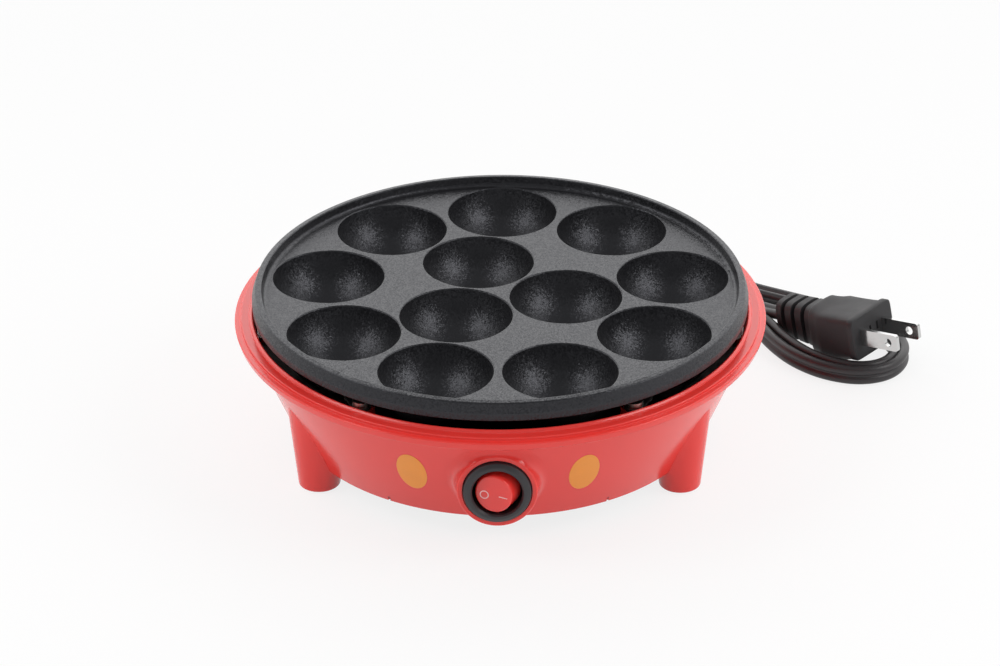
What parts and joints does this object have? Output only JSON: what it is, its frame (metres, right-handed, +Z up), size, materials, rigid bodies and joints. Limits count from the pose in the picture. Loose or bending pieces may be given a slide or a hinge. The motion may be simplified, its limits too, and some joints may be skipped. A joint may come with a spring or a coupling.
{
  "type": "takoyaki maker",
  "caption": "Round electric takoyaki maker: dark plate of round batter cups on a red footed body, with a rocker switch at the front and a tied power cord beside it.",
  "frame": {"origin": "on the body's vertical axis at the surface it stands on, under the middle of the cooking plate", "axes": "+Z up, -Y to the front where the rocker switch is, +X to the right, the side where the cord and plug lie"},
  "size_m": [0.2503, 0.2511, 0.0615],
  "materials": {
    "shell_plastic": "glossy injection-moulded red plastic",
    "plate_coating": "cast aluminium under a black satin non-stick coating",
    "rubber": "matt rubber",
    "cover_plastic": "matt heat-resistant plastic",
    "screw_steel": "zinc-plated steel",
    "sheet_steel": "aluminised sheet steel",
    "sheath_steel": "heat-tinted steel sheath",
    "ceramic": "white glazed-free ceramic",
    "brass": "bare brass",
    "switch_plastic": "satin black plastic",
    "rocker_plastic": "glossy translucent red plastic",
    "lamp_glass": "small neon lamp",
    "cord_pvc": "black flexible vinyl",
    "plug_pvc": "black moulded vinyl, fine matt grain",
    "blade_metal": "nickel-plated brass",
    "wire_insulation": "heat-resistant white insulation",
    "wire_dark": "heat-resistant black insulation",
    "sleeve_fabric": "woven glass sleeve",
    "white_plastic": "plain white plastic"
  },
  "bodies": {
    "cooker": {"cooking_plate": "plate_coating", "body_shell": "shell_plastic", "foot_pads": "rubber", "base_cover": "cover_plastic", "base_screws": "screw_steel", "plate_brackets": "sheet_steel", "stud_screws": "screw_steel", "post_screws": "screw_steel", "heat_shield": "sheet_steel", "shield_screws": "screw_steel", "clamp_spider": "sheet_steel", "spider_screws": "screw_steel", "heating_element": "sheath_steel", "element_seals": "ceramic", "element_pins": "screw_steel", "element_lugs": "brass", "thermostat": "ceramic", "thermostat_tabs": "brass", "thermal_fuse": "brass", "fuse_sleeve": "sleeve_fabric", "fuse_clip": "sheet_steel", "fuse_clip_screw": "screw_steel", "switch_housing": "switch_plastic", "switch_lamp": "lamp_glass", "switch_tabs": "brass", "cord_bushing": "cord_pvc", "cord_inside": "cord_pvc", "cord_clamp": "cover_plastic", "clamp_screws": "screw_steel", "splice_cap": "white_plastic", "cord_lead": "cord_pvc", "cord_hank": "cord_pvc", "cord_tail": "cord_pvc", "cord_tie": "switch_plastic", "plug_body": "plug_pvc", "plug_blades": "blade_metal", "wire_live": "wire_dark", "wire_neutral": "wire_insulation", "wire_fuse": "wire_insulation", "wire_heater": "wire_insulation", "wire_thermostat": "wire_insulation", "wire_switched": "wire_insulation", "wire_lamp": "wire_insulation"},
    "rocker": {"switch_rocker": "rocker_plastic"}
  },
  "joints": [
    {"name": "rocker_tilt", "type": "hinge", "parent": "cooker", "child": "rocker", "pos_m": [0, -0.08754, 0.0283], "axis": [0, 0, 1], "range_deg": [0, 32]}
  ]
}
